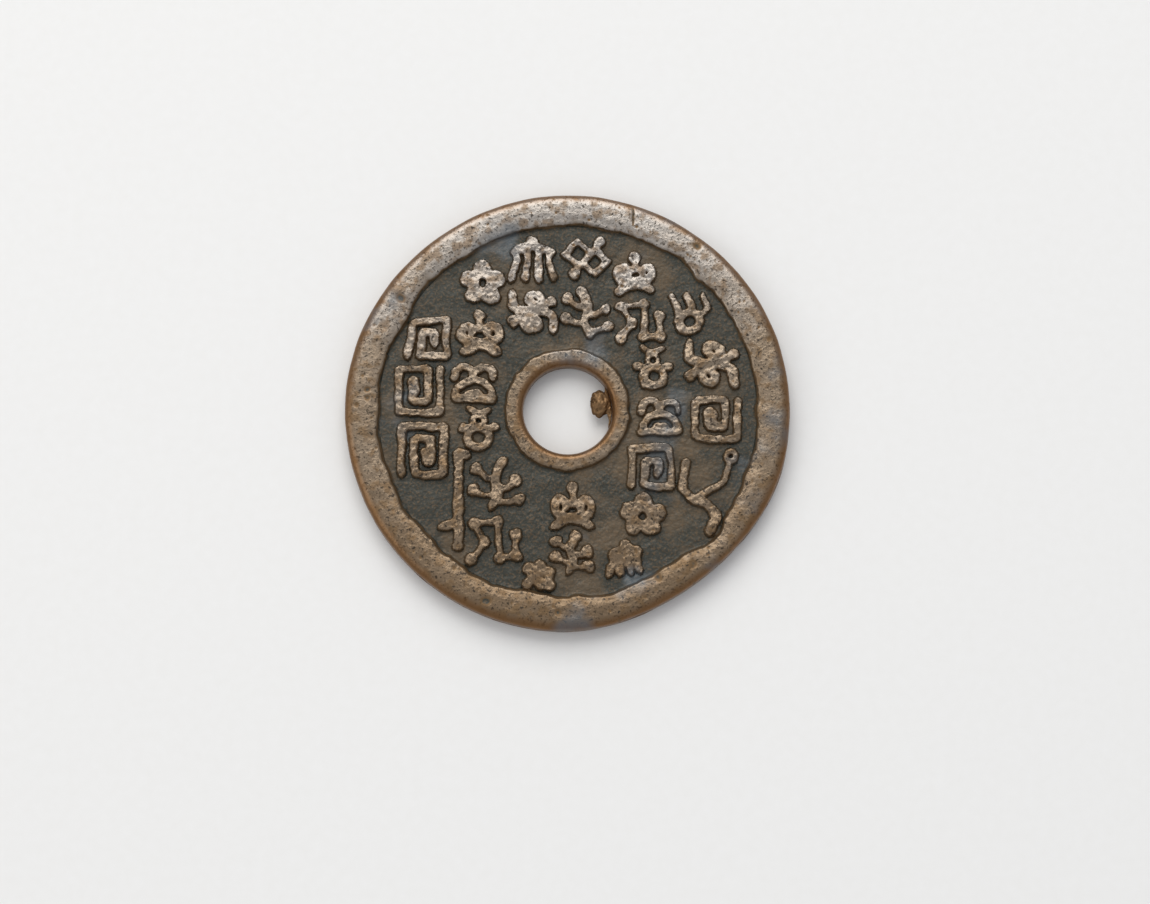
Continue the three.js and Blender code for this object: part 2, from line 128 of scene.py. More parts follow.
# %% Floor
FLOOR_SIZE = 1.6
FLOOR_DROP = 0.03 * MM
PAPER_COLOUR = (0.80, 0.798, 0.785, 1)
PAPER_SHADE = (0.77, 0.765, 0.745, 1)
PAPER_ROUGHNESS = 0.9
PAPER_GRAIN_PER_METRE = 900


def new_material(name):
    """A new material, its node tree, and the Principled BSDF that it starts with."""
    material = bpy.data.materials.new(name)
    material.use_nodes = True
    return material, material.node_tree, material.node_tree.nodes["Principled BSDF"]


paper, tree, shader = new_material("paper")
shader.inputs["Roughness"].default_value = PAPER_ROUGHNESS
place = tree.nodes.new("ShaderNodeTexCoord")
grain = tree.nodes.new("ShaderNodeTexNoise")
grain.inputs["Scale"].default_value = PAPER_GRAIN_PER_METRE
grain.inputs["Detail"].default_value = 4
tone = tree.nodes.new("ShaderNodeMix")
tone.data_type = "RGBA"
tone.inputs["A"].default_value = PAPER_COLOUR
tone.inputs["B"].default_value = PAPER_SHADE
tree.links.new(place.outputs["Object"], grain.inputs["Vector"])
tree.links.new(grain.outputs["Fac"], tone.inputs["Factor"])
tree.links.new(tone.outputs["Result"], shader.inputs["Base Color"])

bm = bmesh.new()
bmesh.ops.create_grid(bm, x_segments=1, y_segments=1, size=FLOOR_SIZE / 2)
bmesh.ops.translate(bm, verts=bm.verts, vec=(0, 0, -FLOOR_DROP))
floor_mesh = bpy.data.meshes.new("floor")
bm.to_mesh(floor_mesh)
bm.free()
floor_mesh.materials.append(paper)
floor = bpy.data.objects.new("floor", floor_mesh)
bpy.context.scene.collection.objects.link(floor)
print("floor", FLOOR_SIZE, "m wide")

# %% [markdown]
# The photograph was lit by a window beyond the coin's upper edge: strokes shine on that side, and
# the shadow is faint. One broad lamp stands there, a weaker and warmer one at the left, and a pale
# world all round. Bronze shows what surrounds it, so the world does as much here as the lamps.

# %% Lamps and world
WORLD_COLOUR = (0.93, 0.95, 1.0, 1)
WORLD_STRENGTH = 0.61
LAMP_DISTANCE = 0.9
WINDOW_DIRECTION = (-0.08, 0.72, 0.82)
WINDOW_SIZE = 0.75
WINDOW_POWER = 5.7
WINDOW_COLOUR = (1, 0.985, 0.96)
FILL_DIRECTION = (-0.9, -0.1, 0.7)
FILL_SIZE = 0.6
FILL_POWER = 1.4
FILL_COLOUR = (1, 0.96, 0.9)


def add_area(name, direction, size, power, colour):
    """A square soft lamp that faces the coin, its direction given as seen from the coin."""
    data = bpy.data.lights.new(name, "AREA")
    data.shape = "SQUARE"
    data.size = size
    data.energy = power
    data.color = colour
    lamp = bpy.data.objects.new(name, data)
    lamp.location = Vector(direction).normalized() * LAMP_DISTANCE
    lamp.rotation_euler = Vector(direction).to_track_quat("Z", "Y").to_euler()
    bpy.context.scene.collection.objects.link(lamp)
    print(name, power, "W")


world = bpy.data.worlds.new("soft room")
world.use_nodes = True
sky = world.node_tree.nodes["Background"]
sky.inputs["Color"].default_value = WORLD_COLOUR
sky.inputs["Strength"].default_value = WORLD_STRENGTH
bpy.context.scene.world = world
add_area("window", WINDOW_DIRECTION, WINDOW_SIZE, WINDOW_POWER, WINDOW_COLOUR)
add_area("fill", FILL_DIRECTION, FILL_SIZE, FILL_POWER, FILL_COLOUR)

# %% [markdown]
# The coin's outline isn't a true circle: it was filed by hand, and a poor pour left a flat stretch
# at the lower right. The solid's corners give the radius at their own angles, and a smooth closed
# curve through them gives it everywhere else.

# %% Outline of the coin and of its rim
OUTLINE_SAMPLES = 72


def radius_by_angle(node, pick):
    """Even samples round the coin of the solid's least or greatest radius."""
    corners = points_mm(node)
    reach = np.hypot(corners[:, 0], corners[:, 1])
    slots = np.round(np.arctan2(corners[:, 1], corners[:, 0]) / (2 * math.pi) * OUTLINE_SAMPLES)
    slots = slots.astype(int) % OUTLINE_SAMPLES
    return np.array([pick(reach[slots == i]) for i in range(OUTLINE_SAMPLES)])


def smooth_round(samples, angle):
    """A closed Catmull-Rom curve through the samples, read at the angles."""
    where = (np.asarray(angle) / (2 * math.pi)) % 1 * OUTLINE_SAMPLES
    k = np.floor(where).astype(int)
    t = where - k
    p0, p1, p2, p3 = (samples[(k + i) % OUTLINE_SAMPLES] for i in (-1, 0, 1, 2))
    bend = (2 * p0 - 5 * p1 + 4 * p2 - p3) * t + (3 * p1 - p0 - 3 * p2 + p3) * t * t
    return p1 + 0.5 * t * (p2 - p0 + bend)


rim_outer = radius_by_angle("obverse_rim", np.max)
rim_inner = radius_by_angle("obverse_rim", np.min)
rim_outer_mean = float(rim_outer.mean())
rim_inner_mean = float(rim_inner.mean())
print("rim from", round(rim_inner_mean, 2), "to", round(rim_outer_mean, 2))

# %% [markdown]
# One pour of metal has one skin, so one rule gives the height of a whole face. The figures' solids
# are read from above as a map of where metal stands up. The map is blurred, because sand holds no
# sharp edge, and read at places pushed about by noise, because the pattern was cut by hand. All
# pieces of a face are then cut from one skin, and meet with no step between them.

# %% Reading and blurring a map
MAP_PITCH = 0.08
MAP_HALF = 24.0
MAP_SIDE = int(2 * MAP_HALF / MAP_PITCH)
LAST_CELL = MAP_SIDE - 1.001
BLUR_REACH = 2.5


def blur(grid, width):
    """A soft average over about width millimetres, along both ways of the map."""
    taps = max(1, int(round(BLUR_REACH * width / MAP_PITCH)))
    weights = np.exp(-0.5 * (np.arange(-taps, taps + 1) * MAP_PITCH / width) ** 2)
    weights /= weights.sum()
    for axis in (0, 1):
        grid = sum(w * np.roll(grid, i - taps, axis) for i, w in enumerate(weights))
    return grid


def read_map(grid, x, y):
    """The map's value at each place, blended between its four nearest cells."""
    u = np.clip((x + MAP_HALF) / MAP_PITCH - 0.5, 0, LAST_CELL)
    v = np.clip((y + MAP_HALF) / MAP_PITCH - 0.5, 0, LAST_CELL)
    i, j = u.astype(int), v.astype(int)
    fu, fv = u - i, v - j
    low = grid[i, j] * (1 - fu) + grid[i + 1, j] * fu
    high = grid[i, j + 1] * (1 - fu) + grid[i + 1, j + 1] * fu
    return low * (1 - fv) + high * fv


def read_labels(grid, x, y):
    """The map's whole number at each place."""
    i = np.clip(((x + MAP_HALF) / MAP_PITCH).astype(int), 0, MAP_SIDE - 1)
    j = np.clip(((y + MAP_HALF) / MAP_PITCH).astype(int), 0, MAP_SIDE - 1)
    return grid[i, j]


print("map of", MAP_SIDE, "by", MAP_SIDE, "cells")

# %% [markdown]
# The maps are made by looking down on the figures' solids, one ray for each cell. A cell notes
# which figure its ray met, and whether it met the low foot or the full relief. The numbers then
# spread outwards by a few cells, so that a place pushed past an outline still finds its figure.

# %% Map of the raised metal on a face
FOOT_SPREAD = 8
RAY_START = 10
RIM_OVERLAP = 1


def figures_tree(figures):
    """The figures' solids as one tree for rays, and the number of the figure behind each face."""
    corners, faces, owner = [], [], []
    for number, node in enumerate(figures):
        mesh = frame["nodes"][node].data
        start = len(corners)
        corners += [v.co / MM for v in mesh.vertices]
        for face in mesh.polygons:
            faces.append([start + v for v in face.vertices])
            owner.append(number)
    return BVHTree.FromPolygons(corners, faces), owner


def footprints(figures, side):
    """Three maps: the number of the nearest figure, where a figure stands, and where it is full."""
    solid, owner = figures_tree(figures)
    labels = np.full((MAP_SIDE, MAP_SIDE), -1)
    raised = np.zeros((MAP_SIDE, MAP_SIDE))
    far = Vector((0, 0, mid_height + side * RAY_START))
    full = mid_height + side * (ground_rise + relief_rise / 2)
    centres = (np.arange(MAP_SIDE) + 0.5) * MAP_PITCH - MAP_HALF
    for i, x in enumerate(centres):
        for j, y in enumerate(centres):
            if collar_radius < math.hypot(x, y) < rim_inner_mean + RIM_OVERLAP:
                hit, _, index, _ = solid.ray_cast(far + Vector((x, y, 0)), Vector((0, 0, -side)))
                if hit is not None:
                    labels[i, j] = owner[index]
                    raised[i, j] = side * (hit.z - full) > 0
    covered = (labels >= 0).astype(float)
    for _ in range(FOOT_SPREAD):
        for step, axis in ((1, 0), (-1, 0), (1, 1), (-1, 1)):
            shifted = np.roll(labels, step, axis)
            labels = np.where((labels < 0) & (shifted >= 0), shifted, labels)
    return labels, covered, raised


print("one ray every", MAP_PITCH, "mm")

# %% [markdown]
# Cast metal is uneven at several sizes at once: broad lumps, the grain of the sand and small pits.
# Each is a named layer of Blender's own noise, with the size of its lumps in millimetres and a
# slice of the noise to itself, so the same coin comes out in every run. Dents are drawn from a
# seeded shuffle for the same reason.

# %% Noise, easing and dents
PATTERN_SEED = 7
NOISE_LAYERS = {
    "wander x": (1.7, 0), "ripple x": (0.55, 3), "wander y": (1.7, 9), "ripple y": (0.55, 13),
    "swell": (2.2, 21), "lump": (1.5, 31), "grain": (0.36, 37), "fine grain": (0.2, 41),
    "edge": (2.4, 51), "rim": (2.6, 61),
}
DENT_FALL = 1.5
DENT_SIZES = (0.5, 1.3)


def layer(name, skin, seed):
    """One layer of noise, from -1 to 1, at all the places of a skin."""
    size, slice_offset = NOISE_LAYERS[name]
    pairs = zip((skin.x / size).tolist(), (skin.y / size).tolist())
    return np.array([noise.noise(Vector((u, v, seed + slice_offset))) for u, v in pairs])


def ease(value, low, high):
    """0 below low, 1 above high, and a smooth rise between."""
    t = np.clip((value - low) / (high - low), 0, 1)
    return t * t * (3 - 2 * t)


def dips(x, y, spots):
    """The depth of round dents, each given as its x, y, radius and depth."""
    depth = np.zeros_like(x)
    for spot_x, spot_y, radius, deep in spots:
        away = ((x - spot_x) ** 2 + (y - spot_y) ** 2) / radius ** 2
        depth += deep * np.exp(-away * DENT_FALL)
    return depth


def scattered(count, inner, outer, radius, depth, seed):
    """Dents strewn over a ring of the face."""
    draw = random.Random(seed)
    spots = []
    for _ in range(count):
        reach = math.sqrt(draw.uniform(inner ** 2, outer ** 2))
        angle = draw.uniform(0, 2 * math.pi)
        size = draw.uniform(*DENT_SIZES)
        spots.append((reach * math.cos(angle), reach * math.sin(angle), radius * size, depth * size))
    return spots


print(len(NOISE_LAYERS), "layers of noise")

# %% [markdown]
# A face starts as its own section: a line of points from the hole's waist over the collar, the
# field and the rim to the middle of the edge. Spin turns that line once round the axis, and the
# result is one skin of narrow quads that follows every round edge. A heightfield on a square grid
# would be simpler, but it can't hold the upright walls of the hole and the edge.

# %% Section of a face
SHOULDER_WIDTH = 1.0
SHOULDER_DROP = 0.75
CHAMFER_WIDTH = 0.62
CHAMFER_DEPTH = 0.75
FIELD_WIDTH = rim_inner_mean - collar_radius
HOLE_WALL_ROWS = 5
CHAMFER_ROWS = 8
SHOULDER_ROWS = 10
EDGE_WALL_ROWS = 6


def field_rows(pitch):
    """How many rows of quads the field has between the collar and the rim."""
    return round(FIELD_WIDTH / pitch)


def section_of_face(pitch):
    """The section's points, each a nominal radius and a rise above the parting plane."""
    points = []
    wall_top = collar_rise - CHAMFER_DEPTH
    for i in range(HOLE_WALL_ROWS):
        points.append((hole_radius, wall_top * i / HOLE_WALL_ROWS))
    for i in range(CHAMFER_ROWS + 1):
        turn = math.pi / 2 * i / CHAMFER_ROWS
        reach = hole_radius + CHAMFER_WIDTH * (1 - math.cos(turn))
        points.append((reach, wall_top + CHAMFER_DEPTH * math.sin(turn)))
    flat = hole_radius + CHAMFER_WIDTH
    steps = round((collar_radius - flat) / pitch)
    points += [(flat + (collar_radius - flat) * i / steps, collar_rise) for i in range(1, steps)]
    steps = field_rows(pitch)
    points += [(collar_radius + FIELD_WIDTH * i / steps, ground_rise) for i in range(steps)]
    shoulder = rim_outer_mean - SHOULDER_WIDTH
    steps = round((shoulder - rim_inner_mean) / pitch)
    width = shoulder - rim_inner_mean
    points += [(rim_inner_mean + width * i / steps, mid_height) for i in range(steps)]
    for i in range(SHOULDER_ROWS + 1):
        turn = math.pi / 2 * i / SHOULDER_ROWS
        drop = SHOULDER_DROP * (1 - math.cos(turn))
        points.append((shoulder + SHOULDER_WIDTH * math.sin(turn), mid_height - drop))
    wall = mid_height - SHOULDER_DROP
    rows = EDGE_WALL_ROWS
    points += [(rim_outer_mean, wall * (1 - i / rows)) for i in range(1, rows + 1)]
    return points


def spun_skin(points, steps):
    """The section turned once round the axis, as one open skin."""
    bm = bmesh.new()
    line = [bm.verts.new((radius, 0, rise)) for radius, rise in points]
    edges = [bm.edges.new(pair) for pair in zip(line, line[1:])]
    bmesh.ops.spin(bm, geom=line + edges, cent=(0, 0, 0), axis=(0, 0, 1), angle=2 * math.pi,
                   steps=steps, use_merge=True, use_duplicate=False)
    return bm


print("field", round(FIELD_WIDTH, 2), "mm wide")

# %% [markdown]
# Now the rule itself, in small steps that each add something to the skin. First every corner moves
# out or in with the outline, and its place on the map is pushed about: a slow wander for the hand
# that cut the pattern, a quick ripple for the sand, and a swell that makes strokes thick and thin.

# %% Outline and wandering edges
EDGE_WANDER = 0.20
EDGE_RIPPLE = 0.11
STROKE_SWELL = 0.22


def lay_out(bm):
    """The skin's corners: where the plain section has them, and where the outline puts them."""
    co = np.array([v.co for v in bm.verts])
    skin = SimpleNamespace(angle=np.arctan2(co[:, 1], co[:, 0]), base=co[:, 2])
    skin.nominal = np.hypot(co[:, 0], co[:, 1])
    skin.inner = smooth_round(rim_inner, skin.angle)
    outer = smooth_round(rim_outer, skin.angle)
    in_field = (skin.nominal - collar_radius) / FIELD_WIDTH
    in_rim = (skin.nominal - rim_inner_mean) / (rim_outer_mean - rim_inner_mean)
    field_reach = collar_radius + in_field * (skin.inner - collar_radius)
    rim_reach = skin.inner + in_rim * (outer - skin.inner)
    skin.reach = np.where(in_field < 0, skin.nominal, np.where(in_rim < 0, field_reach, rim_reach))
    skin.x = skin.reach * np.cos(skin.angle)
    skin.y = skin.reach * np.sin(skin.angle)
    return skin


def push_about(skin, seed):
    """Adds how far each place is pushed, where that leads on the map, and the swell there."""
    wander_x = EDGE_WANDER * layer("wander x", skin, seed)
    wander_y = EDGE_WANDER * layer("wander y", skin, seed)
    skin.push_x = wander_x + EDGE_RIPPLE * layer("ripple x", skin, seed)
    skin.push_y = wander_y + EDGE_RIPPLE * layer("ripple y", skin, seed)
    skin.swell = STROKE_SWELL * layer("swell", skin, seed)
    skin.map_x = skin.x + skin.push_x
    skin.map_y = skin.y + skin.push_y


print("edges wander by up to", round(EDGE_WANDER + EDGE_RIPPLE, 2), "mm")

# %% [markdown]
# Next come the heights. A figure has a broad low foot and a narrower full top, as worn relief does,
# and the ground between keeps the lumps and the grain of the sand. The rim and the collar rise out
# of it with edges that wander too. Walls and rounded edges keep the height that they were spun at.

# %% Heights of ground, figures, rim and collar
METAL_FROM = 0.13
METAL_FULL = 0.55
PAD_SWELL = 0.5
PAD_RISE = 0.12
FIELD_LUMP = 0.075
FIELD_GRAIN = 0.036
FINE_GRAIN_SHARE = 0.6
TOP_LUMP = 0.032
RIM_WAVE = 0.30
RIM_WAVE_FADE = 2
RIM_PUSH = (0.9, 0.5)
RIM_SLOPE = (-0.16, 0.3)
COLLAR_SLOPE = (-0.18, 0.2)
CROWN_DROP = 0.1
CROWN_SLOPE = (0.1, 1.3)
COLLAR_EDGE = 0.45
HIGH_RISE = ground_rise + 0.3


def raise_figures(skin, maps, seed):
    """Adds the figures' tops and feet, the lumps and grain, and the rise of the ground with them."""
    _, covered, raised = maps
    skin.metal = ease(read_map(raised, skin.map_x, skin.map_y) + skin.swell, METAL_FROM, METAL_FULL)
    foot = read_map(covered, skin.map_x, skin.map_y) + skin.swell * PAD_SWELL
    skin.pad = ease(foot, METAL_FROM, METAL_FULL)
    skin.lump = layer("lump", skin, seed)
    skin.grain = layer("grain", skin, seed) + FINE_GRAIN_SHARE * layer("fine grain", skin, seed)
    figure = PAD_RISE * skin.pad + (relief_rise - PAD_RISE + TOP_LUMP * skin.lump) * skin.metal
    ground = ground_rise + FIELD_LUMP * skin.lump + FIELD_GRAIN * skin.grain
    skin.rise = np.maximum(ground + figure, 0)


def raise_rings(skin, seed):
    """Lets rim and collar rise out of the ground. Adds how nearly each corner is a top."""
    fade = ease(skin.nominal, collar_radius + RIM_WAVE_FADE, rim_inner_mean - RIM_WAVE_FADE)
    wave = RIM_WAVE * layer("rim", skin, seed) * fade
    pushed = skin.reach + skin.push_x * RIM_PUSH[0] + skin.push_y * RIM_PUSH[1] + wave
    rim_top = ease(pushed - skin.inner, *RIM_SLOPE)
    collar_top = ease(collar_radius - pushed, *COLLAR_SLOPE)
    crown = mid_height - CROWN_DROP * (1 - ease(pushed - skin.inner, *CROWN_SLOPE))
    rim_crown = crown + TOP_LUMP * skin.lump
    rise = skin.rise * (1 - rim_top) + rim_crown * rim_top
    rise = rise * (1 - collar_top) + (collar_rise + TOP_LUMP * skin.lump) * collar_top
    past_collar = skin.nominal > collar_radius - COLLAR_EDGE
    in_open = past_collar & (skin.nominal < rim_outer_mean - SHOULDER_WIDTH)
    skin.is_high = skin.base > HIGH_RISE
    skin.rise = np.where(in_open, rise, skin.base + TOP_LUMP * skin.lump * skin.is_high)
    skin.top = np.where(in_open, np.maximum(np.maximum(skin.metal, rim_top), collar_top), 1)


print("figures rise", round(relief_rise, 2), "mm over the ground")

# %% [markdown]
# Last come the marks of a long life: the dents and pits that the coin shows, at their own places,
# small ones strewn all over, and one fine crack across the rim. The middle of the edge carries
# the low seam left where the two halves of the mould met.

# %% Dents, crack and seam
OBVERSE_DENTS = [
    (-17.05, 11.58, 0.5, 0.10), (-20.2, 2.1, 0.3, 0.09), (-20.2, 1.2, 0.28, 0.09),
    (-21.3, 0.5, 0.3, 0.06), (-8.15, -19.6, 0.5, 0.10), (-1.0, -20.8, 0.32, 0.08),
    (-11.4, -16.2, 0.3, 0.06), (13.1, 17.1, 0.45, 0.08), (9.1, -17.2, 0.45, 0.08),
    (20.5, 7.3, 0.35, 0.05), (12.6, -15.7, 0.4, 0.07), (-5.4, 18.3, 0.35, 0.08),
]
REVERSE_DENTS = [(15.2, 13.5, 0.5, 0.1), (-19.8, -4.1, 0.4, 0.1), (3.2, -20.4, 0.5, 0.1)]
CRACK_PLACE = (6.7, 20.1)
CRACK_LENGTH = 0.85
CRACK_WIDTH = 0.07
CRACK_DEPTH = 0.15
CRACK_WANDER = 0.5
GROUND_WALL = 0.9
CHAMFER_SHARE = 0.6
TOP_GRAIN = 0.013
EDGE_SEAM = 0.07
EDGE_SEAM_HEIGHT = 0.12
SEAM_EVEN = 0.6
SEAM_UNEVEN = 0.4
EDGE_RIPPLE_DEPTH = 0.04
EDGE_WALL = 0.01
EDGE_RIPPLE_WIDTH = 0.3


def add_marks(skin, side, dents):
    """Sinks the dents and the crack into the skin and gives its tops a fine grain."""
    skin.hollow = dips(skin.x + skin.push_x, skin.y + skin.push_y, dents)
    if side > 0:
        across = (skin.x - CRACK_PLACE[0] + skin.push_x * CRACK_WANDER) / CRACK_WIDTH
        along = (skin.y - CRACK_PLACE[1]) / CRACK_LENGTH
        skin.hollow += CRACK_DEPTH * np.exp(-across ** 2 - along ** 4) * skin.is_high
    past_wall = skin.nominal > hole_radius + CHAMFER_WIDTH * CHAMFER_SHARE
    is_face = (skin.base > GROUND_WALL * ground_rise) & past_wall
    skin.rise = skin.rise - skin.hollow * is_face + TOP_GRAIN * skin.grain * skin.top * is_face


def places_of(skin, side, seed):
    """The corners' final places, with the seam and the ripples of the outer edge."""
    seam = EDGE_SEAM * np.exp(-(skin.base / EDGE_SEAM_HEIGHT) ** 2)
    seam = seam * (skin.nominal > rim_outer_mean - EDGE_WALL)
    ripple = EDGE_RIPPLE_DEPTH * layer("edge", skin, seed)
    ripple = ripple * (skin.nominal > rim_outer_mean - EDGE_RIPPLE_WIDTH)
    spread = (skin.reach + seam * (SEAM_EVEN + SEAM_UNEVEN * skin.lump) + ripple) / skin.reach
    return np.stack([skin.x * spread, skin.y * spread, mid_height + side * skin.rise], 1)


print(len(OBVERSE_DENTS) + len(REVERSE_DENTS), "dents at their own places")

# %% [markdown]
# The finish has to know more than a shape can tell it: how nearly each corner is a worn top, how
# deep it lies in a dent, and how far it is round an outer edge, where a darker orange is painted on
# as shade for the dim reflection of a surface that tilts away. These three values are kept on the
# mesh as attributes, because an attribute follows the skin wherever it goes, and a pattern in space
# wouldn't.

# %% What the finish is told
# The outer shoulder and the hole's chamfer get painted shade, a darker orange for the dim reflection
# where the surface tilts away. These set where it starts and how far it reaches.
EDGE_SHADE_SWELL = 0.5
EDGE_SHADE_FULL = 0.15
CHAMFER_EDGE_SHADE = (0.25, 0.35)


def told_of(skin):
    """The three values for the finish, by the names that the materials read."""
    # The edge value is the mask of the painted orange edge shade.
    bend = skin.nominal + EDGE_SHADE_SWELL * skin.swell
    shoulder = ease(bend, rim_outer_mean - SHOULDER_WIDTH, rim_outer_mean - EDGE_SHADE_FULL)
    start = hole_radius + CHAMFER_EDGE_SHADE[0]
    chamfer = 1 - ease(skin.nominal, start, hole_radius + CHAMFER_WIDTH + CHAMFER_EDGE_SHADE[1])
    return {"top": skin.top, "hollow": skin.hollow, "edge": np.maximum(shoulder, chamfer)}


print("orange from", SHOULDER_WIDTH, "mm inside the edge")

# %% [markdown]
# Each quad is then given to the piece that it belongs to: a figure where its foot begins, else the
# collar, the field or the rim. Two quads of one piece that met at a corner alone would leave a
# pinch that can't be closed, so the owners are laid out on a grid and a figure is widened there.

# %% Owner of each quad
FOOT_LEVEL = 0.03
FIELD_BORDER = 2
CORNER_PASSES = 12


def part_corners(grid, field):
    """Widens the figures until no two quads of one piece meet at a corner alone."""
    steps = grid.shape[1]
    for step in [1, -1] * CORNER_PASSES:
        ahead = np.roll(grid, -step, 1)
        pinched = (grid[:-1] == ahead[1:]) & (ahead[:-1] != grid[:-1]) & (grid[1:] != grid[:-1])
        for row, column in zip(*np.nonzero(pinched)):
            beside = (column + step) % steps
            if grid[row, column] == field:
                grid[row, column] = grid[row, beside]
            else:
                grid[row, beside] = grid[row, column]
                grid[row + 1, column] = grid[row, column]
    return grid


def quad_owner(bm, skin, rows, steps, labels, figure_count):
    """The number of each quad's piece: the figures' numbers first, then collar, field and rim."""
    collar, field, rim = figure_count, figure_count + 1, figure_count + 2
    corners = np.array([[v.index for v in quad.verts] for quad in bm.faces])
    nominal = skin.nominal[corners].mean(1)
    figure = read_labels(labels, skin.map_x[corners].mean(1), skin.map_y[corners].mean(1))
    has_foot = (skin.pad[corners].max(1) > FOOT_LEVEL) & (figure >= 0)
    owner = np.where(nominal < collar_radius, collar, rim)
    in_field = (nominal > collar_radius) & (nominal < rim_inner_mean)
    row = ((nominal - collar_radius) / FIELD_WIDTH * rows).astype(int)[in_field]
    turn = skin.angle[corners]
    angle = np.arctan2(np.sin(turn).mean(1), np.cos(turn).mean(1)) / (2 * math.pi) % 1
    column = (angle * steps).astype(int)[in_field]
    grid = np.full((rows, steps), field)
    grid[row, column] = np.where(has_foot, figure, field)[in_field]
    grid[:FIELD_BORDER] = field
    grid[-FIELD_BORDER:] = field
    owner[in_field] = part_corners(grid, field)[row, column]
    return owner


print("a foot begins at", FOOT_LEVEL, "of its rise")

# %% [markdown]
# A piece cut from the skin is still open below. Its border is pulled down to a floor: rings and the
# field go down to the parting plane, where the two faces meet, and figures only to a shallow seat
# in the field. Two round borders are bridged into one flat ring. A figure's border can have any
# shape, with openings inside it, and a triangle fill copes with that.

# %% Close a piece below
SEAT_DEPTH = 0.15
SAME_HEIGHT = 1e-6
BORDER_SLACK = 0.02
SHARP_ANGLE = math.radians(62)


def floor_of(edge, name, side):
    """The height of the floor under one edge of a piece's open border."""
    seat = mid_height + side * (ground_rise - SEAT_DEPTH)
    if name.endswith(("_rim", "_collar")):
        return mid_height
    if name.endswith("_field"):
        place = edge.verts[0].co
        reach = math.hypot(place.x, place.y)
        at_collar = reach < collar_radius + BORDER_SLACK
        at_rim = reach > smooth_round(rim_inner, math.atan2(place.y, place.x)) - BORDER_SLACK
        return mid_height if at_collar or at_rim else seat
    return seat


def lies_at(edge, floor):
    """Whether both ends of an edge are on the floor."""
    return all(abs(v.co.z - floor) < SAME_HEIGHT for v in edge.verts)


def close_below(bm, name, side):
    """Pulls the open border down to its floors and fills the openings there."""
    floors = {}
    for edge in [e for e in bm.edges if len(e.link_faces) == 1]:
        floors.setdefault(floor_of(edge, name, side), []).append(edge)
    for floor, edges in floors.items():
        low = [e for e in edges if lies_at(e, floor)]
        high = [e for e in edges if not lies_at(e, floor)]
        made = bmesh.ops.extrude_edge_only(bm, edges=high)["geom"] if high else []
        for vert in (g for g in made if isinstance(g, bmesh.types.BMVert)):
            vert.co.z = floor
        new_edges = [g for g in made if isinstance(g, bmesh.types.BMEdge)]
        rest = low + [e for e in new_edges if len(e.link_faces) == 1 and lies_at(e, floor)]
        if abs(floor - mid_height) < SAME_HEIGHT:
            bmesh.ops.bridge_loops(bm, edges=rest)
        else:
            bmesh.ops.triangle_fill(bm, edges=rest, use_beauty=False, normal=(0, 0, -side))


def close_piece(piece, name, side):
    """Closes one cut skin, turns its faces outwards and brings it to metres."""
    bm = bmesh.new()
    bm.from_mesh(piece.data)
    close_below(bm, name, side)
    bmesh.ops.recalc_face_normals(bm, faces=bm.faces)
    bmesh.ops.scale(bm, vec=(MM, MM, MM), verts=bm.verts)
    for quad in bm.faces:
        quad.smooth = True
        quad.material_index = 0
    open_edges = sum(1 for e in bm.edges if len(e.link_faces) != 2)
    bm.to_mesh(piece.data)
    bm.free()
    piece.data.materials.clear()
    piece.name = name + "_skin"
    piece.data.set_sharp_from_angle(angle=SHARP_ANGLE)
    print(name, len(piece.data.polygons), "faces,", open_edges, "open edges")


print("seats", SEAT_DEPTH, "mm deep")

# %% [markdown]
# Now the steps are put together. A skin is spun, shaped and given its owners, and the editor's own
# Separate cuts it by material, which is quick and keeps the attributes. One blank material for each
# piece serves as its label until the finishes take their place.

# %% Cut a face into its pieces
EDGE_SOFTNESS = 0.12


def shaped_mesh(face, figures, side, steps, pitch, dents, seed):
    """One face as a single mesh, with a label material for each piece in it."""
    labels, covered, raised = footprints(figures, side)
    maps = labels, blur(covered, EDGE_SOFTNESS), blur(raised, EDGE_SOFTNESS)
    bm = spun_skin(section_of_face(pitch), steps)
    bm.verts.index_update()
    skin = lay_out(bm)
    push_about(skin, seed)
    raise_figures(skin, maps, seed)
    raise_rings(skin, seed)
    add_marks(skin, side, dents)
    owner = quad_owner(bm, skin, field_rows(pitch), steps, labels, len(figures))
    mesh = bpy.data.meshes.new(face)
    bm.to_mesh(mesh)
    bm.free()
    mesh.vertices.foreach_set("co", places_of(skin, side, seed).ravel())
    for name, values in told_of(skin).items():
        mesh.attributes.new(name, "FLOAT", "POINT").data.foreach_set("value", values)
    for name in figures + [f"{face}_collar", f"{face}_field", f"{face}_rim"]:
        mesh.materials.append(bpy.data.materials.new("cut " + name))
    mesh.polygons.foreach_set("material_index", owner.astype(np.int32))
    return mesh


def cut_pieces(mesh, side):
    """The pieces of a face by name, each cut from the mesh and closed."""
    whole = bpy.data.objects.new(mesh.name, mesh)
    bpy.context.scene.collection.objects.link(whole)
    bpy.context.view_layer.objects.active = whole
    whole.select_set(True)
    before = set(bpy.data.objects)
    bpy.ops.object.mode_set(mode="EDIT")
    bpy.ops.mesh.select_all(action="SELECT")
    bpy.ops.mesh.separate(type="MATERIAL")
    bpy.ops.object.mode_set(mode="OBJECT")
    cut = [whole] + [o for o in bpy.data.objects if o not in before]
    named = {}
    for piece in cut:
        numbers = np.zeros(len(piece.data.polygons), np.int32)
        piece.data.polygons.foreach_get("material_index", numbers)
        name = piece.data.materials[numbers[0]].name.removeprefix("cut ")
        close_piece(piece, name, side)
        named[name] = piece
        piece.select_set(False)
    return named


print("map edges softened over", EDGE_SOFTNESS, "mm")

# %% [markdown]
# The obverse gets the finer skin, because its relief is what one looks at. A quad is a little over
# a tenth of a millimetre wide there, about a seventh of a stroke. The reverse carries eight plain
# trigrams, which a coarser skin holds as well. Each face has its own slice of noise and dents.

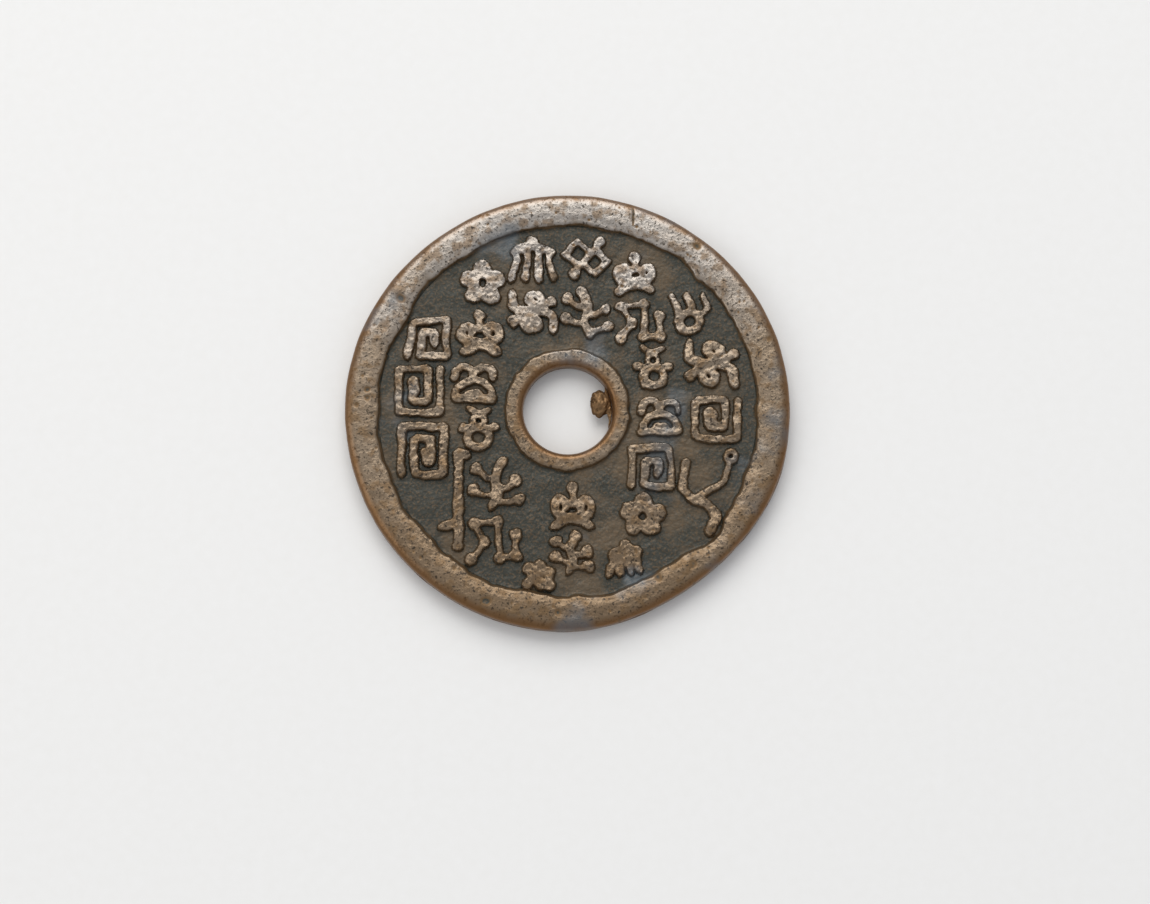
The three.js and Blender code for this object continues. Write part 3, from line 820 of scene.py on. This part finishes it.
# %% Make both faces
OBVERSE_STEPS = 990
OBVERSE_PITCH = 0.125
REVERSE_STEPS = 720
REVERSE_PITCH = 0.16
OBVERSE_SLICE = 1.5
REVERSE_SLICE = 77.5
OBVERSE_PITS = 420
REVERSE_PITS = 300
PIT_RING = (7, 22.2)
OBVERSE_PIT_RADIUS = 0.14
REVERSE_PIT_RADIUS = 0.17
PIT_DEPTH = 0.05

obverse_figures = []
for node in sorted(frame["nodes"]):
    if not node.startswith(("obverse_", "reverse_", "trigram_", "casting_")):
        obverse_figures.append(node)
reverse_figures = sorted(n for n in frame["nodes"] if n.startswith("trigram_"))

obverse_pits = scattered(OBVERSE_PITS, *PIT_RING, OBVERSE_PIT_RADIUS, PIT_DEPTH, PATTERN_SEED)
reverse_pits = scattered(REVERSE_PITS, *PIT_RING, REVERSE_PIT_RADIUS, PIT_DEPTH, PATTERN_SEED + 1)
obverse = shaped_mesh("obverse", obverse_figures, 1, OBVERSE_STEPS, OBVERSE_PITCH,
                      OBVERSE_DENTS + obverse_pits, OBVERSE_SLICE)
pieces = cut_pieces(obverse, 1)
reverse = shaped_mesh("reverse", reverse_figures, -1, REVERSE_STEPS, REVERSE_PITCH,
                      REVERSE_DENTS + reverse_pits, REVERSE_SLICE)
pieces.update(cut_pieces(reverse, -1))

# %% [markdown]
# The flash is metal that crept between the two halves of the mould: a thin web with a blob on it.
# It is free in form, so a copy of its solid is remeshed with small voxels and smoothed. Then it is
# roughened by two sizes of noise, except at its root, which has to stay inside the wall of the hole.

# %% Flash in the hole
FLASH_VOXEL = 0.07
FLASH_SMOOTHING = 6
FLASH_LUMP = (0.22, 0.9)
FLASH_BUMP = (0.1, 2.6)
FLASH_ROOT = 0.2

flash = bpy.data.objects.new("casting_flash_skin", frame["nodes"]["casting_flash"].data.copy())
bpy.context.scene.collection.objects.link(flash)
remesh = flash.modifiers.new("voxels", "REMESH")
remesh.mode = "VOXEL"
remesh.voxel_size = FLASH_VOXEL * MM
soften = flash.modifiers.new("soften", "SMOOTH")
soften.iterations = FLASH_SMOOTHING
bpy.context.view_layer.update()
melted = bpy.data.meshes.new_from_object(flash.evaluated_get(bpy.context.evaluated_depsgraph_get()))
flash.modifiers.clear()
flash.data = melted
for vert in melted.vertices:
    place = vert.co / MM
    push = FLASH_LUMP[0] * noise.noise(place * FLASH_LUMP[1])
    push += FLASH_BUMP[0] * noise.noise(place * FLASH_BUMP[1])
    if vert.co.xy.length / MM < hole_radius - FLASH_ROOT:
        vert.co += vert.normal * push * MM
for quad in melted.polygons:
    quad.use_smooth = True
pieces["casting_flash"] = flash
print("casting_flash", len(melted.polygons), "faces")

# %% [markdown]
# Materials are built from a few kinds of node again and again. Short helpers make them, and take
# either a plain value or another node's socket, so that a finish reads as a list of its layers.

# %% Helpers for material nodes


def add_node(tree, kind, **settings):
    """A node of that kind with its settings."""
    node = tree.nodes.new(kind)
    for name, value in settings.items():
        setattr(node, name, value)
    return node


def mix_colour(tree, amount, first, second):
    """A colour mix of first and second; each may be a colour or a socket."""
    node = add_node(tree, "ShaderNodeMix", data_type="RGBA")
    for socket, value in (("Factor", amount), ("A", first), ("B", second)):
        if isinstance(value, bpy.types.NodeSocket):
            tree.links.new(value, node.inputs[socket])
        else:
            node.inputs[socket].default_value = value
    return node.outputs["Result"]


def do_maths(tree, operation, *values):
    """The result of a maths node on sockets or numbers."""
    node = add_node(tree, "ShaderNodeMath", operation=operation)
    for socket, value in zip(node.inputs, values):
        if isinstance(value, bpy.types.NodeSocket):
            tree.links.new(value, socket)
        else:
            socket.default_value = value
    return node.outputs["Value"]


def ramp(tree, value, low, high, start=0.0, end=1.0):
    """A smooth change from start to end as value goes from low to high."""
    node = add_node(tree, "ShaderNodeMapRange", interpolation_type="SMOOTHSTEP")
    tree.links.new(value, node.inputs["Value"])
    for socket, number in (("From Min", low), ("From Max", high), ("To Min", start), ("To Max", end)):
        node.inputs[socket].default_value = number
    return node.outputs["Result"]


def grain_of(tree, place, per_metre, detail):
    """Noise with that many lumps to a metre, read at the object's own coordinates."""
    node = add_node(tree, "ShaderNodeTexNoise")
    node.inputs["Scale"].default_value = per_metre
    node.inputs["Detail"].default_value = detail
    tree.links.new(place, node.inputs["Vector"])
    return node.outputs["Fac"]


print("node helpers ready")

# %% [markdown]
# Bronze of this age is several things at once: bare metal where fingers and cloth reached, and a
# near-black skin with green in it down on the ground. Over the tops lies painted light as well: a
# painted sheen that turns them silvery towards the coin's top, painted shade that turns them brown
# towards its foot, and painted shade of a darker orange round the rounded edges, where the surface
# tilts away. One node group mixes them from what the skin tells, so each change follows the relief,
# and noise breaks it up. Dark pits and a blue-grey bloom lie over all.
# The group gives colour, roughness, metal and bump height, and the shader stays in each material.

# %% Shared finish of aged bronze
BARE_METAL = (0.245, 0.19, 0.135, 1)
# The next colour is a painted sheen: the silvery grey that the tops take towards the coin's top.
PAINTED_SHEEN_COLOUR = (0.40, 0.375, 0.345, 1)
# Brown is the metal's own tone in mottles and on slopes, and also the painted shade that the tops
# take towards the coin's foot.
BROWN_TONE = (0.145, 0.086, 0.038, 1)
# The next colour is painted shade: the darker orange laid on rounded edges where the surface tilts
# away.
EDGE_SHADE_ORANGE = (0.165, 0.078, 0.025, 1)
DARK_SKIN = (0.030, 0.031, 0.023, 1)
BROWN_EARTH = (0.085, 0.062, 0.036, 1)
DARK_PIT = (0.028, 0.022, 0.016, 1)
BLUE_BLOOM = (0.12, 0.145, 0.165, 1)
BLOOM_PER_METRE = 150
PATCHES_PER_METRE = 210
MOTTLES_PER_METRE = 850
SPECKS_PER_METRE = 2300
GRAINS_PER_METRE = 4200
TOP_SHAKE = 0.6
NOISE_MIDDLE = 0.5
HOLLOW_DARKENING = -11.0
# How strongly the painted orange edge shade is laid on.
EDGE_SHADE_AMOUNT = 0.85
# How much noise breaks the line where the painted sheen and the painted shade begin.
NORTH_SHAKE = 0.03
ROUGHNESS_SHAKE = 0.35
FINE_BUMP = 0.6
MOTTLE_BUMP = 0.8
BUMP_DISTANCE = 0.08 * MM
# A ramp goes from its first number to its second. What it gives there follows, if not 0 and 1.
# Where the painted sheen (silvery, towards the coin's top) and the painted shade (brown, towards its
# foot) lie, by the place's y in metres.
PAINTED_SHEEN_NORTH = (0.002, 0.022, 0, 0.9)
PAINTED_SHADE_SOUTH = (0.006, -0.022, 0.1, 0.6)
BROWN_MOTTLES = (0.47, 0.64, 0, 0.7)
FINE_PITS = (0.57, 0.66, 0, 0.7)
SPECK_PITS = (0.61, 0.67, 0, 0.85)
BARE_TOPS = (0.55, 1.0)
TONED_SLOPES = (0.12, 0.6)
EARTH_PATCHES = (0.48, 0.66)
EARTH_GRAINS = (0.46, 0.7, 0, 0.45)
BLOOM_PATCHES = (0.61, 0.74, 0, 0.55)
ROUGH_TO_BARE = (0, 1, 0.5, 0.33)
METAL_BY_HEIGHT = (0.0, 0.8, 0.35, 0.75)
GROUP_INPUTS = (
    ("Place", "NodeSocketVector"), ("Top", "NodeSocketFloat"), ("Hollow", "NodeSocketFloat"),
    ("Edge", "NodeSocketFloat"), ("Warmth", "NodeSocketFloat"),
)
GROUP_OUTPUTS = (
    ("Colour", "NodeSocketColor"), ("Roughness", "NodeSocketFloat"),
    ("Metallic", "NodeSocketFloat"), ("Height", "NodeSocketFloat"),
)


def worn_metal(group, given, north, fine, medium, speck):
    """The colour of the tops: bare, painted sheen towards the top, brown painted shade towards the
    foot, brown mottles, pits, and orange painted shade round the edges.
    """
    # Painted sheen towards the coin's top, then painted shade towards its foot.
    painted_sheen = ramp(group, north, *PAINTED_SHEEN_NORTH)
    brown = ramp(group, north, *PAINTED_SHADE_SOUTH)
    metal = mix_colour(group, painted_sheen, BARE_METAL, PAINTED_SHEEN_COLOUR)
    metal = mix_colour(group, brown, metal, BROWN_TONE)
    metal = mix_colour(group, ramp(group, medium, *BROWN_MOTTLES), metal, BROWN_TONE)
    metal = mix_colour(group, given["Warmth"], metal, BROWN_TONE)
    metal = mix_colour(group, ramp(group, fine, *FINE_PITS), metal, DARK_PIT)
    metal = mix_colour(group, ramp(group, speck, *SPECK_PITS), metal, DARK_PIT)
    # Painted shade: the edges turn a darker orange where the surface tilts away.
    orange = do_maths(group, "MULTIPLY", given["Edge"], EDGE_SHADE_AMOUNT)
    return mix_colour(group, orange, metal, EDGE_SHADE_ORANGE)


def build_bronze_group():
    """The shared finish: from place and skin to colour, roughness, metal and bump height."""
    group = bpy.data.node_groups.new("aged bronze", "ShaderNodeTree")
    for name, kind in GROUP_INPUTS:
        group.interface.new_socket(name, in_out="INPUT", socket_type=kind)
    for name, kind in GROUP_OUTPUTS:
        group.interface.new_socket(name, in_out="OUTPUT", socket_type=kind)
    given = group.nodes.new("NodeGroupInput").outputs
    result = group.nodes.new("NodeGroupOutput").inputs
    place = given["Place"]
    broad = grain_of(group, place, PATCHES_PER_METRE, 4)
    medium = grain_of(group, place, MOTTLES_PER_METRE, 4)
    fine = grain_of(group, place, GRAINS_PER_METRE, 2)
    speck = grain_of(group, place, SPECKS_PER_METRE, 3)
    medium_swing = do_maths(group, "SUBTRACT", medium, NOISE_MIDDLE)
    broad_swing = do_maths(group, "SUBTRACT", broad, NOISE_MIDDLE)

    shaken = do_maths(group, "MULTIPLY_ADD", medium_swing, TOP_SHAKE, given["Top"])
    pitted = do_maths(group, "MULTIPLY_ADD", given["Hollow"], HOLLOW_DARKENING, shaken)
    bare = ramp(group, pitted, *BARE_TOPS)
    toned = ramp(group, pitted, *TONED_SLOPES)
    axes = add_node(group, "ShaderNodeSeparateXYZ")
    group.links.new(place, axes.inputs["Vector"])
    # The place's y, shaken by noise, sets where the painted sheen and the painted shade lie.
    north = do_maths(group, "MULTIPLY_ADD", broad_swing, NORTH_SHAKE, axes.outputs["Y"])

    earth = mix_colour(group, ramp(group, broad, *EARTH_PATCHES), DARK_SKIN, BROWN_EARTH)
    earth = mix_colour(group, ramp(group, fine, *EARTH_GRAINS), earth, BROWN_TONE)
    metal = worn_metal(group, given, north, fine, medium, speck)
    colour = mix_colour(group, bare, mix_colour(group, toned, earth, BROWN_TONE), metal)
    bloom = ramp(group, grain_of(group, place, BLOOM_PER_METRE, 3), *BLOOM_PATCHES)
    group.links.new(mix_colour(group, bloom, colour, BLUE_BLOOM), result["Colour"])

    rough = ramp(group, bare, *ROUGH_TO_BARE)
    rough = do_maths(group, "MULTIPLY_ADD", medium_swing, ROUGHNESS_SHAKE, rough)
    group.links.new(rough, result["Roughness"])
    group.links.new(ramp(group, pitted, *METAL_BY_HEIGHT), result["Metallic"])
    height = do_maths(group, "MULTIPLY", medium, MOTTLE_BUMP)
    height = do_maths(group, "MULTIPLY_ADD", fine, FINE_BUMP, height)
    group.links.new(height, result["Height"])
    return group


bronze_group = build_bronze_group()
print(len(bronze_group.nodes), "nodes in the shared finish")

# %% [markdown]
# Every piece has the same finish with its own measure of warmth and bump. The field keeps the most
# of the sand's roughness, the collar is a little browner than the rim, and the flash, which nobody
# ever polished, is the brownest.

# %% The five bronzes


def bronze(name, warmth, bump):
    """A bronze material: the shared finish on the skin's own values, with its warmth and bump."""
    material, tree, shader = new_material(name)
    finish = add_node(tree, "ShaderNodeGroup", node_tree=bronze_group)
    place = add_node(tree, "ShaderNodeTexCoord")
    tree.links.new(place.outputs["Object"], finish.inputs["Place"])
    for socket in ("Top", "Hollow", "Edge"):
        told = add_node(tree, "ShaderNodeAttribute", attribute_name=socket.lower())
        tree.links.new(told.outputs["Fac"], finish.inputs[socket])
    finish.inputs["Warmth"].default_value = warmth
    relief = add_node(tree, "ShaderNodeBump")
    relief.inputs["Strength"].default_value = bump
    relief.inputs["Distance"].default_value = BUMP_DISTANCE
    tree.links.new(finish.outputs["Height"], relief.inputs["Height"])
    tree.links.new(relief.outputs["Normal"], shader.inputs["Normal"])
    tree.links.new(finish.outputs["Colour"], shader.inputs["Base Color"])
    tree.links.new(finish.outputs["Roughness"], shader.inputs["Roughness"])
    tree.links.new(finish.outputs["Metallic"], shader.inputs["Metallic"])
    return material


finishes = {
    "rim_bronze": bronze("rim bronze", warmth=0.0, bump=0.5),
    "collar_bronze": bronze("collar bronze", warmth=0.15, bump=0.5),
    "field_bronze": bronze("field bronze", warmth=0.0, bump=0.9),
    "relief_bronze": bronze("relief bronze", warmth=0.0, bump=0.6),
    "flash_bronze": bronze("flash bronze", warmth=0.5, bump=0.9),
}
print(", ".join(finishes))

# %% [markdown]
# Last, each piece takes its finish from the record's slot, rides on the one body and stands for
# its solid. The flash wasn't cut from a skin, so it is told plain values of its own.

# %% Dress the coin
# The flash's edge value lays most of the painted orange edge shade over all of it.
FLASH_TOLD = {"top": 0.8, "hollow": 0.0, "edge": 0.8}

slot_of = {part["node"]: part["material_slot"] for part in frame["record"]["subparts"]}
for name, value in FLASH_TOLD.items():
    values = flash.data.attributes.new(name, "FLOAT", "POINT").data
    values.foreach_set("value", np.full(len(flash.data.vertices), value))
for node, piece in pieces.items():
    piece.data.materials.clear()
    piece.data.materials.append(finishes[slot_of[node]])
    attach(piece, "root")
    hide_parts(node)
print(len(pieces), "pieces,", sum(len(p.data.polygons) for p in pieces.values()), "faces")
